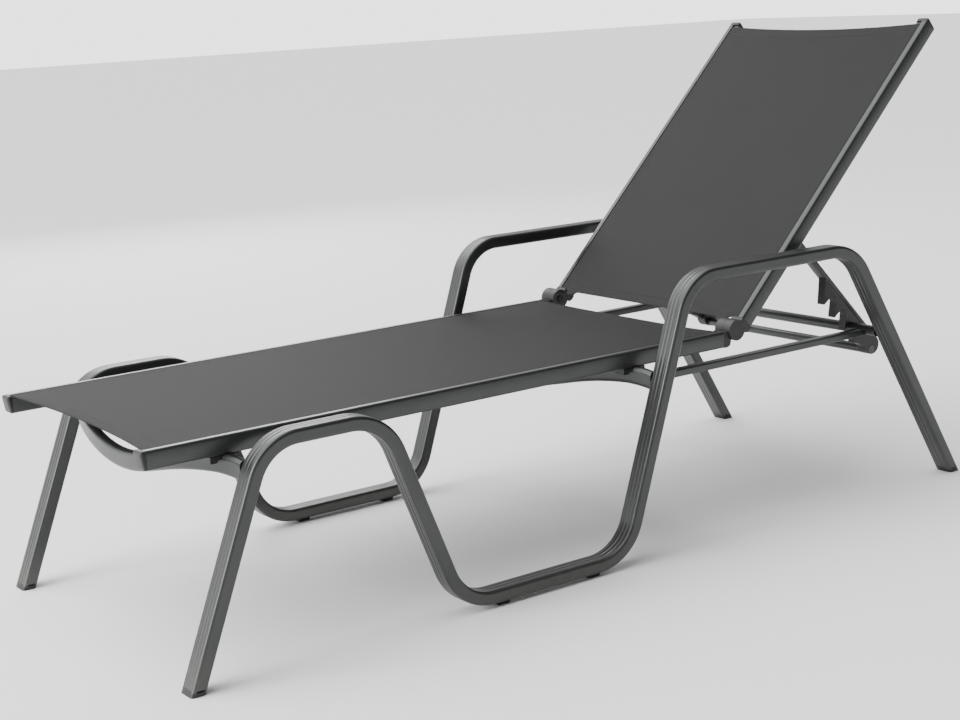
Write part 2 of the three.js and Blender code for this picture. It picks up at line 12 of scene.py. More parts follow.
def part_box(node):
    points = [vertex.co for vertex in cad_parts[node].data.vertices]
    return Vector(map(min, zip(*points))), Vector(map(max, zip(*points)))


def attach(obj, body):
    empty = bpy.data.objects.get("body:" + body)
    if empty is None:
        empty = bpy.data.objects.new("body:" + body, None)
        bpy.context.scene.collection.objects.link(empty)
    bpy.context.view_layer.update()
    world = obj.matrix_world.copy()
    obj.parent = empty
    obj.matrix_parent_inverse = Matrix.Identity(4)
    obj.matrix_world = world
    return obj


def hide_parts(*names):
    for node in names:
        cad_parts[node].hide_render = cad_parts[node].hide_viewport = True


bl_info = {
    "name": "Reclining Sun Lounger",
    "version": (1, 0, 0),
    "blender": (4, 5, 0),
    "location": "3D View > Sidebar > Lounger",
    "description": "Builds the visible pieces of a reclining sling lounger around its frame",
    "category": "Object",
}

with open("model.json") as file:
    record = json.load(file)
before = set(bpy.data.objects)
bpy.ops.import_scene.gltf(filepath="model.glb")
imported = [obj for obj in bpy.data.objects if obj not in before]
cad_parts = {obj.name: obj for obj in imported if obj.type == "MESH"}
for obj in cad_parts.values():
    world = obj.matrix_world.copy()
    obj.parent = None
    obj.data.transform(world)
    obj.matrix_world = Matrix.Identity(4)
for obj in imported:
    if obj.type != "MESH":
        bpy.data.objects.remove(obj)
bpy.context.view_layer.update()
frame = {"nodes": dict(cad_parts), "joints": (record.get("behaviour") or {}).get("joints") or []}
MM = 0.001
SIDES = ("left", "right")


# ------------------------------------------------------------------ places taken from the frame
def middle(node):
    low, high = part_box(node)
    return (low + high) / 2


ORIGIN_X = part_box("seat_rail_left")[0].x
SEAT_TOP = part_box("seat_rail_left")[1].z
FRAME_Y = middle("side_frame_right").y
FRAME_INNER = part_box("side_frame_right")[0].y
RAIL_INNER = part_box("seat_rail_right")[0].y
RAIL_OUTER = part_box("seat_rail_right")[1].y
JOINTS = {joint["name"]: joint for joint in frame["joints"]}
HINGE = Vector(JOINTS["back_lift"]["pos_m"])
BACK_ANGLE = math.radians(45.2)
LEAN = {"front": 68.2, "fall": 69.4, "post": 71.0, "rear": 59.6}
GAP = 0.0003  # left between a bar's end and the tube it meets
CLOTH_BELOW_RAIL = 0.0005  # from the rails' tops down to the cloth
HEM_MAP_STEP = 0.003  # how far the weave runs on with each row of a hem
TUBE_EASE = 0.0004  # edge rounding of the cut tubes and the steel fixings
CROSSBAR = {"width": 0.034, "thickness": 0.018, "corner": 0.008, "bow": 0.058, "dip": 0.033}
BACK_BAR = {"width": 0.024, "thickness": 0.014, "corner": 0.006, "hollow": 0.032}
SIDE_FRAME = {"foot_in": 16.8, "hump": -5.5, "arm": 125, "crossbar": -54.5, "hump_long": 211.0,
              "arm_long": 412, "rear_crossbar": -229.5}  # mm; heights are from the seat's top
CAMERA_PLACE = (-1.0284, -2.5743, 0.9923)  # from the foot end of the seat, on the floor's centre line
CAMERA_TURN = (35.34, 11.84, -2.91)  # azimuth, elevation and roll in degrees


def back_matrix():
    """Turns a sheet drawn flat, X along it from the hinge, into the sloping plane of the back."""
    return Matrix.Translation(HINGE) @ Matrix.Rotation(-BACK_ANGLE, 4, "Y")


def seat_matrix():
    return Matrix.Translation((ORIGIN_X, 0, SEAT_TOP))


# ------------------------------------------------------------------ settings
class LoungerTubes(bpy.types.PropertyGroup):
    width: FloatProperty(
        name="Tube Width", description="Side frame tube, across the lounger",
        default=0.038, min=0.02, unit="LENGTH")
    thickness: FloatProperty(
        name="Tube Thickness", description="Side frame tube, in the plane of its bends",
        default=0.0235, min=0.01, unit="LENGTH")
    corner: FloatProperty(
        name="Corner Radius", description="Rounding of the side frame tube's corners",
        default=0.0055, min=0.001, unit="LENGTH")
    reeds: IntProperty(
        name="Reeds", description="Raised lines along each wide face", default=3, min=1, max=9)
    reed_depth: FloatProperty(
        name="Reed Depth", description="Depth of the grooves between the reeds",
        default=0.0006, min=0.0, unit="LENGTH")
    paint: FloatVectorProperty(
        name="Paint", description="Powder coat colour", default=(0.05, 0.052, 0.0515),
        min=0.0, max=1.0, subtype="COLOR")


class LoungerSlings(bpy.types.PropertyGroup):
    thickness: FloatProperty(
        name="Cloth Thickness", description="Thickness of the mesh cloth",
        default=0.0011, min=0.0005, unit="LENGTH")
    sag: FloatProperty(
        name="Sag", description="How far the middle hangs below the rails",
        default=0.003, min=0.0, unit="LENGTH")
    hem: FloatProperty(
        name="Hem", description="Width of the hem turned under at each free edge",
        default=0.022, min=0.005, unit="LENGTH")
    yarn: FloatProperty(
        name="Yarn Pitch", description="Distance from yarn to yarn",
        default=0.00135, min=0.0005, unit="LENGTH")
    stitch: FloatProperty(
        name="Stitch Pitch", description="Length of one hem stitch and its gap",
        default=0.0042, min=0.002, unit="LENGTH")
    cloth: FloatVectorProperty(
        name="Cloth", description="Colour of the yarns", default=(0.026, 0.0262, 0.0265),
        min=0.0, max=1.0, subtype="COLOR")


class LoungerFittings(bpy.types.PropertyGroup):
    rounding: FloatProperty(
        name="Edge Rounding", description="Radius on the moulded fittings' edges",
        default=0.0008, min=0.0001, unit="LENGTH")
    plastic: FloatVectorProperty(
        name="Plastic", description="Colour of the moulded fittings",
        default=(0.012, 0.012, 0.013), min=0.0, max=1.0, subtype="COLOR")


class LoungerStage(bpy.types.PropertyGroup):
    floor: FloatVectorProperty(
        name="Floor", description="Colour of the floor", default=(0.9, 0.9, 0.9),
        min=0.0, max=1.0, subtype="COLOR")
    key: FloatProperty(
        name="Key Light", description="Power of the large lamp at the foot end",
        default=210.0, min=0.0, unit="POWER")
    sky: FloatProperty(
        name="Sky", description="Strength of the broad soft light from above",
        default=3.5, min=0.0)
    lens: FloatProperty(
        name="Lens", description="Focal length of the camera", default=65.77, min=1.0)


# ------------------------------------------------------------------ nodes
class Value:
    """A number socket that Python's operators act on by adding Math nodes."""

    def __init__(self, nodes, socket):
        self.nodes = nodes
        self.socket = socket

    def math(self, operation, *others, clamp=False):
        sockets = {index: item for index, item in enumerate((self, *others))}
        settings = {"operation": operation, "use_clamp": clamp}
        return self.nodes.value("ShaderNodeMath", settings, sockets)

    def __add__(self, other):
        return self.math("ADD", other)

    def __sub__(self, other):
        return self.math("SUBTRACT", other)

    def __rsub__(self, other):
        return self.nodes.value("ShaderNodeMath", {"operation": "SUBTRACT"}, {0: other, 1: self})

    def __mul__(self, other):
        return self.math("MULTIPLY", other)

    def __truediv__(self, other):
        return self.math("DIVIDE", other)

    __radd__ = __add__
    __rmul__ = __mul__


class Nodes:
    """Adds nodes to one tree: the settings first, then the values or links of the sockets."""

    def __init__(self, tree):
        self.tree = tree
        self.tree.nodes.clear()

    def add(self, kind, settings=None, sockets=None):
        node = self.tree.nodes.new(kind)
        for name, setting in (settings or {}).items():
            if name == "stops":
                while len(node.color_ramp.elements) < len(setting):
                    node.color_ramp.elements.new(1.0)
                for element, (place, shade) in zip(node.color_ramp.elements, setting):
                    element.position = place
                    element.color = shade
            else:
                setattr(node, name, setting)
        for name, item in (sockets or {}).items():
            item = item.socket if isinstance(item, Value) else item
            if isinstance(item, bpy.types.NodeSocket):
                self.tree.links.new(item, node.inputs[name])
            else:
                node.inputs[name].default_value = item
        return node

    def value(self, kind, settings=None, sockets=None, output=0):
        return Value(self, self.add(kind, settings, sockets).outputs[output])


def new_material(name):
    material = bpy.data.materials.new(name)
    material.use_nodes = True
    return material, Nodes(material.node_tree)


def close_material(nodes, shader_sockets):
    shader = nodes.add("ShaderNodeBsdfPrincipled", None, shader_sockets)
    nodes.add("ShaderNodeOutputMaterial", None, {"Surface": shader.outputs[0]})


def rgba(colour, gain=1.0):
    return (*[min(channel * gain, 1.0) for channel in colour], 1.0)


def noise(nodes, vector, scale, detail=3.0, roughness=0.5):
    sockets = {"Vector": vector, "Scale": scale, "Detail": detail, "Roughness": roughness}
    return nodes.value("ShaderNodeTexNoise", None, sockets)


def between(nodes, factor, low, high):
    sockets = {0: factor, 6: low, 7: high}
    return nodes.add("ShaderNodeMix", {"data_type": "RGBA"}, sockets).outputs[2]


def paint_material(name, colour, slope=0.0, drawn=0.0):
    """Powder coat: orange-peel skin, a faint metal fleck, die lines along a rail, and dust low down."""
    material, nodes = new_material(name)
    place = nodes.add("ShaderNodeTexCoord").outputs["Object"]
    broad = noise(nodes, place, 9.0, 4.0)
    skin = noise(nodes, place, 1400.0, 2.0)
    fleck = noise(nodes, place, 5200.0, 1.0)
    scuff = noise(nodes, place, 70.0, 6.0, 0.7)
    height = nodes.value("ShaderNodeSeparateXYZ", None, {0: place}, "Z")
    dust = (1.0 - height * 14.0).math("MAXIMUM", 0.0, clamp=True) * scuff
    tone = (broad * 0.55 + fleck * 0.45).math("MULTIPLY", 1.0, clamp=True)
    base = between(nodes, tone, rgba(colour, 0.72), rgba(colour, 1.34))
    shown = between(nodes, dust * 0.4, base, rgba((0.22, 0.21, 0.19)))
    bump_height = skin * 0.6 + fleck * 0.2
    if drawn:
        settings = {"vector_type": "POINT"}
        turned = nodes.add("ShaderNodeMapping", settings, {
            "Vector": place, "Rotation": (0.0, slope, 0.0), "Scale": (1.5, 900.0, 900.0)})
        bump_height = bump_height + noise(nodes, turned.outputs[0], 1.0, 2.0) * drawn
    bump = nodes.add("ShaderNodeBump", None, {
        "Strength": 0.35, "Distance": 0.00012, "Height": bump_height})
    rough = scuff * 0.16 + 0.26 + dust * 0.3
    close_material(nodes, {
        "Base Color": shown, "Roughness": rough, "Metallic": 0.72, "Normal": bump.outputs[0],
        "Coat Weight": 0.12, "Coat Roughness": 0.3})
    return material


def plastic_material(name, colour):
    """Moulded nylon with a fine spark-eroded grain and a few paler rub marks."""
    material, nodes = new_material(name)
    place = nodes.add("ShaderNodeTexCoord").outputs["Object"]
    grain = noise(nodes, place, 2600.0, 2.0)
    rub = noise(nodes, place, 55.0, 6.0, 0.72)
    mark = (rub - 0.56).math("MULTIPLY", 5.0, clamp=True)
    shown = between(nodes, mark * 0.35, rgba(colour), rgba(colour, 2.6))
    bump = nodes.add("ShaderNodeBump", None, {
        "Strength": 0.3, "Distance": 0.00008, "Height": grain})
    close_material(nodes, {
        "Base Color": shown, "Roughness": grain * 0.12 + 0.4 + mark * 0.1,
        "Specular IOR Level": 0.45, "Normal": bump.outputs[0]})
    return material


def steel_material(name, tone):
    """Plated fixing with a cloudy passivated skin."""
    material, nodes = new_material(name)
    place = nodes.add("ShaderNodeTexCoord").outputs["Object"]
    cloud = noise(nodes, place, 260.0, 4.0)
    grain = noise(nodes, place, 1800.0, 1.0)
    shown = between(nodes, cloud, rgba((0.36, 0.36, 0.34), tone), rgba((0.62, 0.62, 0.6), tone))
    bump = nodes.add("ShaderNodeBump", None, {
        "Strength": 0.25, "Distance": 0.00005, "Height": grain})
    close_material(nodes, {
        "Base Color": shown, "Metallic": 0.95, "Roughness": cloud * 0.25 + 0.22,
        "Normal": bump.outputs[0]})
    return material


def cloth_material(name, colour, pitch):
    """Coated-yarn basket weave, laid out on the cloth's own map, which is in metres; the gaps between the yarns carry
    painted shade and the raised yarn crowns a painted highlight.
    """
    material, nodes = new_material(name)
    laid = nodes.add("ShaderNodeUVMap", {"uv_map": "cloth"}).outputs[0]
    parts = nodes.add("ShaderNodeSeparateXYZ", None, {0: laid})
    across = Value(nodes, parts.outputs[0]) / pitch
    along = Value(nodes, parts.outputs[1]) / (pitch * 1.12)
    weft = (across * math.pi).math("SINE").math("ABSOLUTE")
    warp = (along * math.pi).math("SINE").math("ABSOLUTE")
    cell = across.math("FLOOR") + along.math("FLOOR")
    over = (cell * 0.5).math("FRACT") * 2.0
    ridge = (weft * over + warp * (1.0 - over)).math("MULTIPLY", 1.0, clamp=True)
    # Mask of the gaps between the yarns: it darkens them as painted shade and also makes them rougher.
    gap_shade = ((1.0 - weft).math("MULTIPLY", 1.0 - warp) * 1.8).math("MINIMUM", 1.0)
    streak = nodes.add("ShaderNodeMapping", {"vector_type": "POINT"}, {
        "Vector": laid, "Scale": (620.0, 3.5, 1.0)})
    yarns = noise(nodes, streak.outputs[0], 1.0, 2.0)
    cross = nodes.add("ShaderNodeMapping", {"vector_type": "POINT"}, {
        "Vector": laid, "Scale": (3.5, 560.0, 1.0)})
    picks = noise(nodes, cross.outputs[0], 1.0, 2.0)
    patch = noise(nodes, laid, 7.0, 3.0)
    # The raised yarn crowns (ridge) lighten the tone as a painted highlight; the other terms vary at random.
    tone = yarns * 0.34 + picks * 0.24 + patch * 0.22 + ridge * 0.2
    tone = tone.math("MULTIPLY", 1.0, clamp=True)
    yarn = between(nodes, tone, rgba(colour, 0.72), rgba(colour, 1.3))
    # Painted shade: the gaps between the yarns are darkened to 0.3 of the cloth colour.
    shown = between(nodes, gap_shade, yarn, rgba(colour, 0.3))
    bump = nodes.add("ShaderNodeBump", None, {
        "Strength": 0.6, "Distance": 0.00028, "Height": ridge})
    close_material(nodes, {
        "Base Color": shown, "Roughness": 0.62 + gap_shade * 0.25, "Specular IOR Level": 0.1,
        "Normal": bump.outputs[0]})
    return material


# ------------------------------------------------------------------ mesh helpers
def add_piece(name, mesh, body, material=None):
    piece = bpy.data.objects.new(name, mesh)
    bpy.context.scene.collection.objects.link(piece)
    if material:
        mesh.materials.clear()
        mesh.materials.append(material)
    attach(piece, body)
    return piece


def polyline(name, points):
    mesh = bpy.data.meshes.new(name)
    edges = [(i, i + 1) for i in range(len(points) - 1)]
    mesh.from_pydata([tuple(point) for point in points], edges, [])
    carrier = bpy.data.objects.new(name, mesh)
    bpy.context.scene.collection.objects.link(carrier)
    return carrier


def smooth(mesh, degrees):
    mesh.polygons.foreach_set("use_smooth", [True] * len(mesh.polygons))
    mesh.set_sharp_from_angle(angle=math.radians(degrees))


def outward(mesh):
    work = bmesh.new()
    work.from_mesh(mesh)
    bmesh.ops.remove_doubles(work, verts=work.verts, dist=1e-6)
    bmesh.ops.recalc_face_normals(work, faces=work.faces)
    work.to_mesh(mesh)
    work.free()


def rounded_copy(node, body, material, radius, angle=34.0):
    """The node's own shape with its edges eased, standing in its place."""
    mesh = frame["nodes"][node].data.copy()
    mesh.name = f"{node}_finished"
    work = bmesh.new()
    work.from_mesh(mesh)
    bmesh.ops.remove_doubles(work, verts=work.verts, dist=2e-6)
    bmesh.ops.dissolve_limit(
        work, angle_limit=math.radians(0.6), verts=work.verts, edges=work.edges)
    work.to_mesh(mesh)
    work.free()
    piece = add_piece(mesh.name, mesh, body, material)
    smooth(mesh, angle)
    ease = piece.modifiers.new("Eased edges", "BEVEL")
    ease.width = radius
    ease.segments = 2
    ease.limit_method = "ANGLE"
    ease.angle_limit = math.radians(angle)
    ease.use_clamp_overlap = True
    ease.harden_normals = True
    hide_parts(node)
    return piece


# ------------------------------------------------------------------ geometry node trees
def socket_in(tree, name, kind, default=None):
    item = tree.interface.new_socket(name=name, in_out="INPUT", socket_type=kind)
    if default is not None:
        item.default_value = default
    return item


def tube_tree():
    """Sweeps a rounded section, with reeds on its wide faces, along the carrier's line."""
    tree = bpy.data.node_groups.new("Reeded Tube", "GeometryNodeTree")
    socket_in(tree, "Geometry", "NodeSocketGeometry")
    for name, default in (("Width", 0.038), ("Thickness", 0.019), ("Corner", 0.005),
                          ("Reed Pitch", 0.008), ("Reed Phase", 0.0), ("Reed Depth", 0.0006),
                          ("Grain", 0.0012)):
        socket_in(tree, name, "NodeSocketFloat", default)
    socket_in(tree, "Side", "NodeSocketVector", (0.0, 1.0, 0.0))
    socket_in(tree, "Material", "NodeSocketMaterial")
    tree.interface.new_socket(name="Geometry", in_out="OUTPUT", socket_type="NodeSocketGeometry")
    nodes = Nodes(tree)
    given = nodes.add("NodeGroupInput").outputs
    width, thickness = Value(nodes, given["Width"]), Value(nodes, given["Thickness"])
    corner, pitch = Value(nodes, given["Corner"]), Value(nodes, given["Reed Pitch"])
    box = nodes.add("GeometryNodeCurvePrimitiveQuadrilateral", {"mode": "RECTANGLE"}, {
        "Width": width, "Height": thickness})
    rounded = nodes.add("GeometryNodeFilletCurve", {"mode": "POLY"}, {
        "Curve": box.outputs[0], "Radius": corner, "Count": 6})
    even = nodes.add("GeometryNodeResampleCurve", {"mode": "LENGTH"}, {
        "Curve": rounded.outputs[0], "Length": given["Grain"]})
    place = nodes.add("GeometryNodeInputPosition").outputs[0]
    spot = nodes.add("ShaderNodeSeparateXYZ", None, {0: place})
    x, y = Value(nodes, spot.outputs[0]), Value(nodes, spot.outputs[1])
    turn = (x / pitch + Value(nodes, given["Reed Phase"])) * (2 * math.pi)
    wave = turn.math("COSINE") * 0.5 + 0.5
    flat = ((width * 0.5 - corner) - x.math("ABSOLUTE")).math("DIVIDE", pitch * 0.25, clamp=True)
    face = (y.math("ABSOLUTE") - (thickness * 0.5 - corner * 0.35)).math("GREATER_THAN", 0.0)
    sink = wave * flat * face * Value(nodes, given["Reed Depth"]) * y.math("SIGN") * -1.0
    shift = nodes.add("ShaderNodeCombineXYZ", None, {1: sink})
    reeded = nodes.add("GeometryNodeSetPosition", None, {
        "Geometry": even.outputs[0], "Offset": shift.outputs[0]})
    line = nodes.add("GeometryNodeMeshToCurve", None, {"Mesh": given["Geometry"]})
    held = nodes.add("GeometryNodeSetCurveNormal", {"mode": "FREE"}, {
        "Curve": line.outputs[0], "Normal": given["Side"]})
    swept = nodes.add("GeometryNodeCurveToMesh", None, {
        "Curve": held.outputs[0], "Profile Curve": reeded.outputs[0], "Fill Caps": True})
    realised = nodes.add("GeometryNodeRealizeInstances", None, {0: swept.outputs[0]})
    coated = nodes.add("GeometryNodeSetMaterial", None, {
        "Geometry": realised.outputs[0], "Material": given["Material"]})
    nodes.add("NodeGroupOutput", None, {0: coated.outputs[0]})
    return tree


def stitch_tree():
    """Lays one capsule-shaped stitch at every step along the carrier's line."""
    tree = bpy.data.node_groups.new("Hem Stitches", "GeometryNodeTree")
    socket_in(tree, "Geometry", "NodeSocketGeometry")
    for name, default in (("Pitch", 0.0042), ("Thread", 0.0005)):
        socket_in(tree, name, "NodeSocketFloat", default)
    socket_in(tree, "Material", "NodeSocketMaterial")
    tree.interface.new_socket(name="Geometry", in_out="OUTPUT", socket_type="NodeSocketGeometry")
    nodes = Nodes(tree)
    given = nodes.add("NodeGroupInput").outputs
    pitch, thread = Value(nodes, given["Pitch"]), Value(nodes, given["Thread"])
    line = nodes.add("GeometryNodeMeshToCurve", None, {"Mesh": given["Geometry"]})
    steps = nodes.add("GeometryNodeCurveToPoints", {"mode": "LENGTH"}, {
        "Curve": line.outputs[0], "Length": pitch})
    ball = nodes.add("GeometryNodeMeshUVSphere", None, {"Segments": 8, "Rings": 6, "Radius": 1.0})
    size = nodes.add("ShaderNodeCombineXYZ", None, {
        0: thread * 0.5, 1: thread * 0.5, 2: pitch * 0.36})
    laid = nodes.add("GeometryNodeInstanceOnPoints", None, {
        "Points": steps.outputs["Points"], "Instance": ball.outputs[0],
        "Rotation": steps.outputs["Rotation"], "Scale": size.outputs[0]})
    realised = nodes.add("GeometryNodeRealizeInstances", None, {0: laid.outputs[0]})
    coated = nodes.add("GeometryNodeSetMaterial", None, {
        "Geometry": realised.outputs[0], "Material": given["Material"]})
    nodes.add("NodeGroupOutput", None, {0: coated.outputs[0]})
    return tree


def grown_mesh(name, carrier, tree, inputs):
    """Runs a tree on its carrier and gives back the plain mesh; the carrier is then removed."""
    grower = carrier.modifiers.new(tree.name, "NODES")
    grower.node_group = tree
    names = {item.name: item.identifier
             for item in tree.interface.items_tree if item.in_out == "INPUT"}
    for label, setting in inputs.items():
        grower[names[label]] = setting
    bpy.context.view_layer.update()
    graph = bpy.context.evaluated_depsgraph_get()
    mesh = bpy.data.meshes.new_from_object(carrier.evaluated_get(graph), depsgraph=graph)
    mesh.name = name
    line = carrier.data
    bpy.data.objects.remove(carrier)
    bpy.data.meshes.remove(line)
    return mesh


def swept_tube(name, points, side, width, thickness, corner, material,
               reeds=0, depth=0.0, grain=0.0012):
    pitch = (width - 2 * corner) / max(reeds, 1)
    mesh = grown_mesh(name, polyline(name, points), bpy.data.node_groups["Reeded Tube"], {
        "Width": width, "Thickness": thickness, "Corner": corner, "Reed Pitch": pitch,
        "Reed Phase": reeds % 2 / 2, "Reed Depth": depth, "Grain": grain, "Side": side,
        "Material": material})
    outward(mesh)
    return mesh


# ------------------------------------------------------------------ lines the tubes follow
def side_line(y, step=4.0):
    """Centre line of a side frame, its bends drawn as arcs."""
    seat, low = SEAT_TOP / MM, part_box("side_frame_right")[0].z / MM
    thick = bpy.context.scene.lounger_tubes.thickness / MM
    hump, arm, cross = (seat + SIDE_FRAME[part] for part in ("hump", "arm", "crossbar"))
    runner = low + thick / 2
    tan = {name: math.tan(math.radians(lean)) for name, lean in LEAN.items()}
    foot = SIDE_FRAME["foot_in"]
    hump_x = foot + hump / tan["front"]
    fall_x = hump_x + SIDE_FRAME["hump_long"]
    runner_x = fall_x + (hump - runner) / tan["fall"]
    rear_cross = (HINGE.x - ORIGIN_X) / MM + SIDE_FRAME["rear_crossbar"]
    post_x = rear_cross + 1.5 - (cross - runner) / tan["post"]
    arm_x = post_x + (arm - runner) / tan["post"]
    rear_x = arm_x + SIDE_FRAME["arm_long"]
    rear_foot = rear_x + arm / tan["rear"]
    corners = [(foot, 0, 0), (hump_x, hump, 82), (fall_x, hump, 90), (runner_x, runner, 90),
               (post_x, runner, 90), (arm_x, arm, 82), (rear_x, arm, 96), (rear_foot, 0, 0)]
    flat = [Vector(corners[0][:2])]
    for (ax, az, _), (bx, bz, radius), (cx, cz, _) in zip(corners, corners[1:], corners[2:]):
        into = Vector((bx - ax, bz - az)).normalized()
        away = Vector((cx - bx, cz - bz)).normalized()
        turn = math.atan2(into.x * away.y - into.y * away.x, into.dot(away))
        back = radius * math.tan(abs(turn) / 2)
        side = math.copysign(1, turn)
        centre = Vector((bx, bz)) - into * back + Vector((-into.y, into.x)) * radius * side
        start = math.atan2(into.y, into.x)
        count = max(6, round(math.degrees(abs(turn)) / step))
        for i in range(count + 1):
            angle = start + turn * i / count
            flat.append(centre + Vector((math.sin(angle), -math.cos(angle))) * radius * side)
    flat.append(Vector(corners[-1][:2]))
    return [Vector((ORIGIN_X + p.x * MM, y, p.y * MM)) for p in flat]


def cross_line(node, count=48):
    """Centre line of a bowed crossbar: level at the frames, forwards and down in the middle."""
    end_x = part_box(node)[1].x - CROSSBAR["width"] / 2
    half = FRAME_INNER - GAP
    level = SEAT_TOP - 0.0525
    flat = FRAME_INNER * 0.81
    points = []
    for i in range(count + 1):
        y = -half + 2 * half * i / count
        bow = CROSSBAR["bow"] * (1 - (abs(y) / FRAME_INNER) ** 3.1) ** 1.6
        dip = CROSSBAR["dip"] * (1 - min(abs(y) / flat, 1.0) ** 2) ** 2.7
        past = max((abs(y) - flat) / (FRAME_INNER - flat), 0.0)
        points.append(Vector((end_x - bow, y, level + 0.0095 * (1 - past ** 1.5) - dip)))
    return points


def back_bar_line(node, count=32):
    """Centre line of a bar behind the back sling, hollowed away from the occupant."""
    half = RAIL_INNER - GAP
    along = (back_matrix().inverted() @ middle(node)).x
    points = []
    for i in range(count + 1):
        y = -half + 2 * half * i / count
        depth = 0.017 + BACK_BAR["hollow"] * (1 - (y / half) ** 2) ** 2
        points.append(back_matrix() @ Vector((along, y, -depth)))
    return points


def straight_line(node):
    centre = middle(node)
    return [Vector((centre.x, corner.y, centre.z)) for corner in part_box(node)]


def level_ends(mesh, line, height):
    """Cuts both ends of a leg tube level, on top of their feet."""
    for end, inner in ((line[0], line[1]), (line[-1], line[-2])):
        along = (end - inner).normalized()
        for vertex in mesh.vertices:
            if (vertex.co - end).length < 0.035:
                vertex.co += along * ((height - vertex.co.z) / along.z)


# ------------------------------------------------------------------ slings
def sling_mesh(name, low_edge, high_edge, half, settings, place, rows=90, columns=120):
    """A stretched cloth: hems turned under at both free edges, sides turned down into the rails."""
    cloth = settings.thickness
    lay = -CLOTH_BELOW_RAIL - cloth / 2
    fold = cloth * 0.62
    across = [(-half + 2 * half * i / columns, 0.0) for i in range(columns + 1)]
    drop = [(0.5, 0.1), (0.9, 0.4), (1.15, 0.9), (1.2, 1.6), (1.2, 3.0), (1.2, 6.5)]
    right = [(half + out * MM, -down * MM) for out, down in drop]
    across = [(-y, z) for y, z in reversed(right)] + across + right
    grid, flat = [], []
    turn = 6
    for row in range(-turn - 3, rows + turn + 4):
        line, lined = [], []
        for y, z in across:
            t = min(abs(y) / half, 1.0)
            start, end = low_edge(t), high_edge(t)
            inside = min(max(row, 0), rows) / rows
            x = start + (end - start) * inside
            over = -row if row < 0 else max(row - rows, 0)
            way = 1 if row < 0 else -1
            dip = settings.sag * (1 - t ** 2) * math.sin(math.pi * inside) ** 0.7
            height = lay + z - dip
            if over:
                curl = min(over, turn) / turn * math.pi
                x -= way * fold * math.sin(curl)
                height -= fold * (1 - math.cos(curl))
                if over > turn:
                    x += way * settings.hem * (over - turn) / 3
            line.append((x, y, height))
            lined.append((y, x - way * over * HEM_MAP_STEP))
        grid.append(line)
        flat.append(lined)
    wide = len(across)
    points = [point for line in grid for point in line]
    faces = []
    for first in range(0, (len(grid) - 1) * wide, wide):
        for i in range(first, first + wide - 1):
            faces.append((i, i + wide, i + wide + 1, i + 1))
    mesh = bpy.data.meshes.new(name)
    mesh.from_pydata(points, [], faces)
    layer = mesh.uv_layers.new(name="cloth")
    spots = [spot for line in flat for spot in line]
    for loop in mesh.loops:
        layer.data[loop.index].uv = spots[loop.vertex_index]
    mesh.transform(place)
    mesh.polygons.foreach_set("use_smooth", [True] * len(mesh.polygons))
    return mesh


def thicken(piece, thickness):
    """Gives the cloth its thickness, equally above and below, as a plain mesh."""
    wall = piece.modifiers.new("Cloth", "SOLIDIFY")
    wall.thickness = thickness
    wall.offset = 0.0
    wall.use_even_offset = False
    graph = bpy.context.evaluated_depsgraph_get()
    mesh = bpy.data.meshes.new_from_object(piece.evaluated_get(graph), depsgraph=graph)
    piece.modifiers.clear()
    piece.data = mesh
    work = bmesh.new()
    work.from_mesh(mesh)
    bmesh.ops.recalc_face_normals(work, faces=work.faces)
    work.to_mesh(mesh)
    work.free()


def hem_line(edge, half, inset, lift, place, count=60):
    points = []
    for i in range(count + 1):
        y = (-half + 2 * half * i / count) * 0.955
        t = min(abs(y) / half, 1.0)
        points.append(place @ Vector((edge(t) + inset, y, lift)))
    return points


def build_sling(label, low_edge, high_edge, place, body, settings):
    half = RAIL_OUTER - 0.0151
    colour = settings.cloth
    cloth = cloth_material(f"{label} Mesh Cloth", colour, settings.yarn)
    mesh = sling_mesh(f"{label}_cloth", low_edge, high_edge, half, settings, place)
    sheet = add_piece(f"{label}_cloth", mesh, body, cloth)
    thicken(sheet, settings.thickness)
    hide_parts(f"{label}_sling")
    thread, nodes = new_material(f"{label} Thread")
    place_socket = nodes.add("ShaderNodeTexCoord").outputs["Object"]
    twist = noise(nodes, place_socket, 2400.0, 1.0)
    shade = between(nodes, twist, rgba(colour, 0.45), rgba(colour, 1.1))
    close_material(nodes, {"Base Color": shade, "Roughness": 0.55})
    rows = []
    for number, (edge, way) in enumerate(((low_edge, 1), (high_edge, -1))):
        line = hem_line(edge, half, way * settings.hem * 0.82, -CLOTH_BELOW_RAIL - 0.00015, place)
        rows.append(grown_mesh(
            f"{label}_stitch_row_{number}", polyline(f"{label}_hem_{number}", line),
            bpy.data.node_groups["Hem Stitches"],
            {"Pitch": settings.stitch, "Thread": 0.0007, "Material": thread}))
    work = bmesh.new()
    for row in rows:
        work.from_mesh(row)
        bpy.data.meshes.remove(row)
    joined = bpy.data.meshes.new(f"{label}_hem_stitches")
    work.to_mesh(joined)
    work.free()
    stitches = add_piece(joined.name, joined, body, thread)
    outward(joined)
    smooth(joined, 60)
    return sheet


# ------------------------------------------------------------------ operators
class LOUNGER_OT_materials(bpy.types.Operator):
    """Make the finishes and the node trees that the other operators share"""
    bl_idname = "lounger.materials"
    bl_label = "Finishes"

    def execute(self, context):
        tubes, fittings = context.scene.lounger_tubes, context.scene.lounger_fittings
        paint_material("Powder Coat", tubes.paint)
        paint_material("Powder Coat Base Rail", tubes.paint, 0.0, 0.5)
        paint_material("Powder Coat Back Rail", tubes.paint, -BACK_ANGLE, 0.5)
        plastic_material("Moulded Black", fittings.plastic)
        steel_material("Zinc Plate", 1.0)
        steel_material("Blackened Steel", 0.06)
        # A six times lighter copy of the black plastic for the stay bar plugs: a painted highlight for their lit end
        # faces.
        plastic_material("Moulded Grey", [channel * 6 for channel in fittings.plastic])
        tube_tree()
        stitch_tree()
        return {"FINISHED"}


